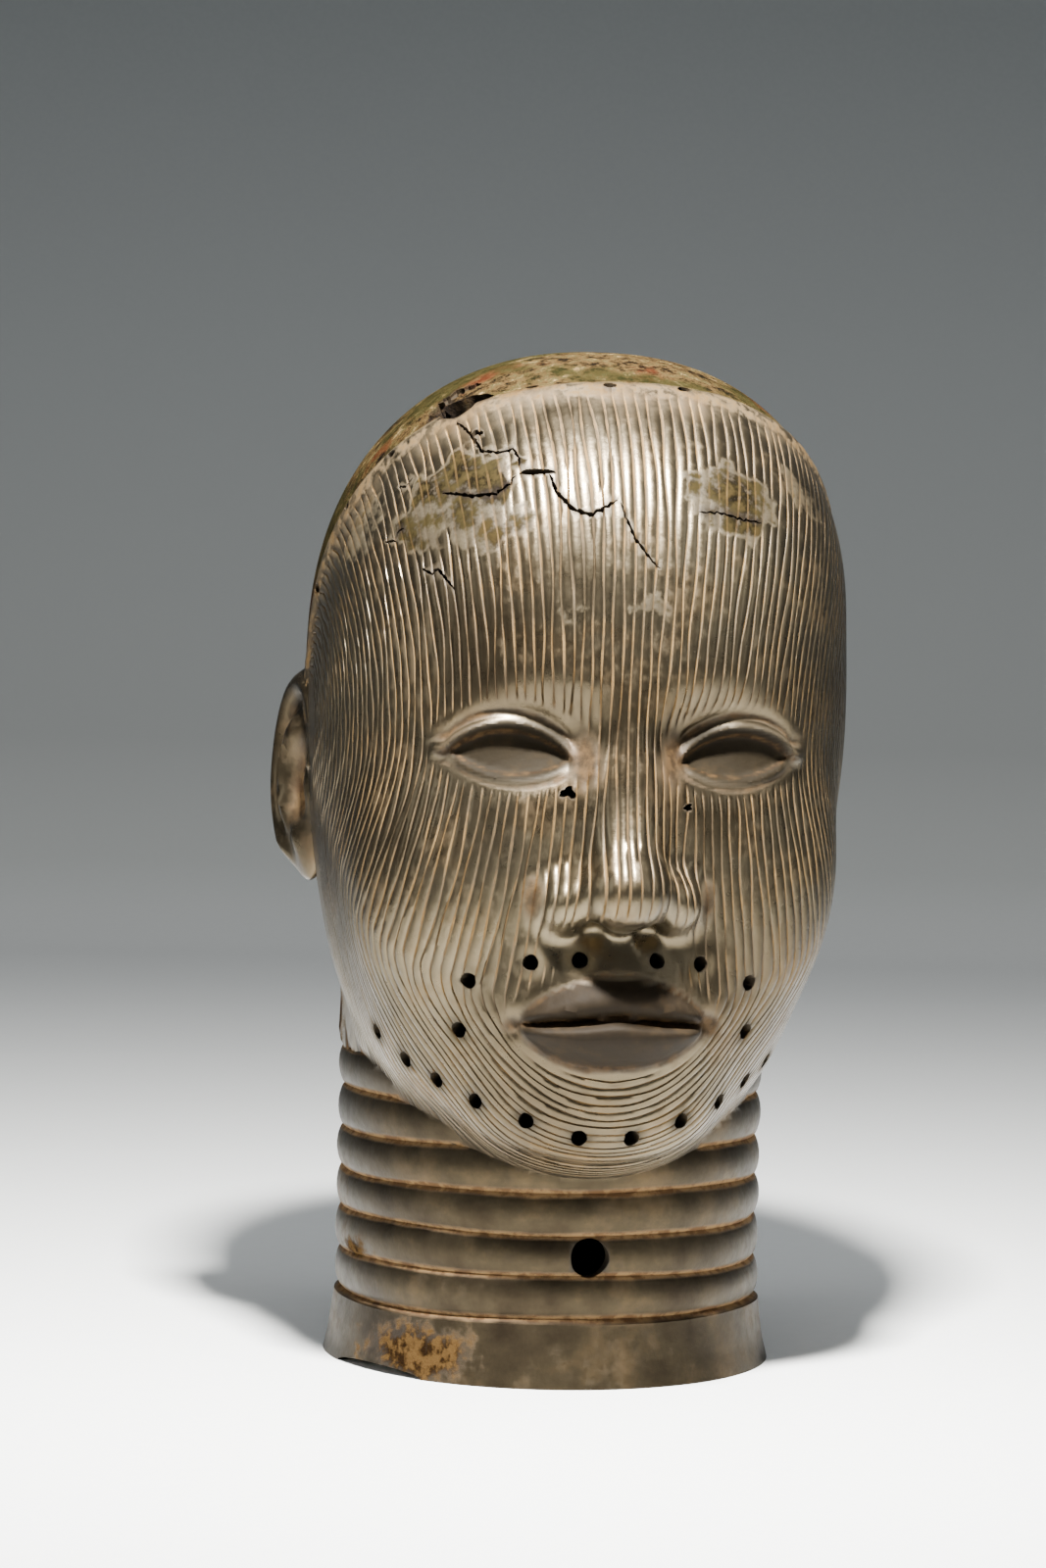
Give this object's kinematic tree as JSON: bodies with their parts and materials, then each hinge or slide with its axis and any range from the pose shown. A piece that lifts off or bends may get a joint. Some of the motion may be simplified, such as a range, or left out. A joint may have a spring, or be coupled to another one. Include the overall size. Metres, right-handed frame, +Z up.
{
  "type": "bronze head sculpture",
  "caption": "Life-size hollow cast bronze head on a ringed neck, with fine vertical lines on the face and a smooth cap, standing on its open neck.",
  "frame": {"origin": "on the floor under the middle of the head's bounding box", "axes": "+Z up from the neck's rim to the crown, -Y the way the face looks, +X towards the head's own left ear"},
  "size_m": [0.1776, 0.2169, 0.3049],
  "materials": {
    "bronze": "old cast copper alloy: dark brown polished lands, ochre earth in the lines and grooves, rough brown and ochre patina on the cap"
  },
  "bodies": {
    "root": {"head": "bronze"}
  },
  "joints": []
}
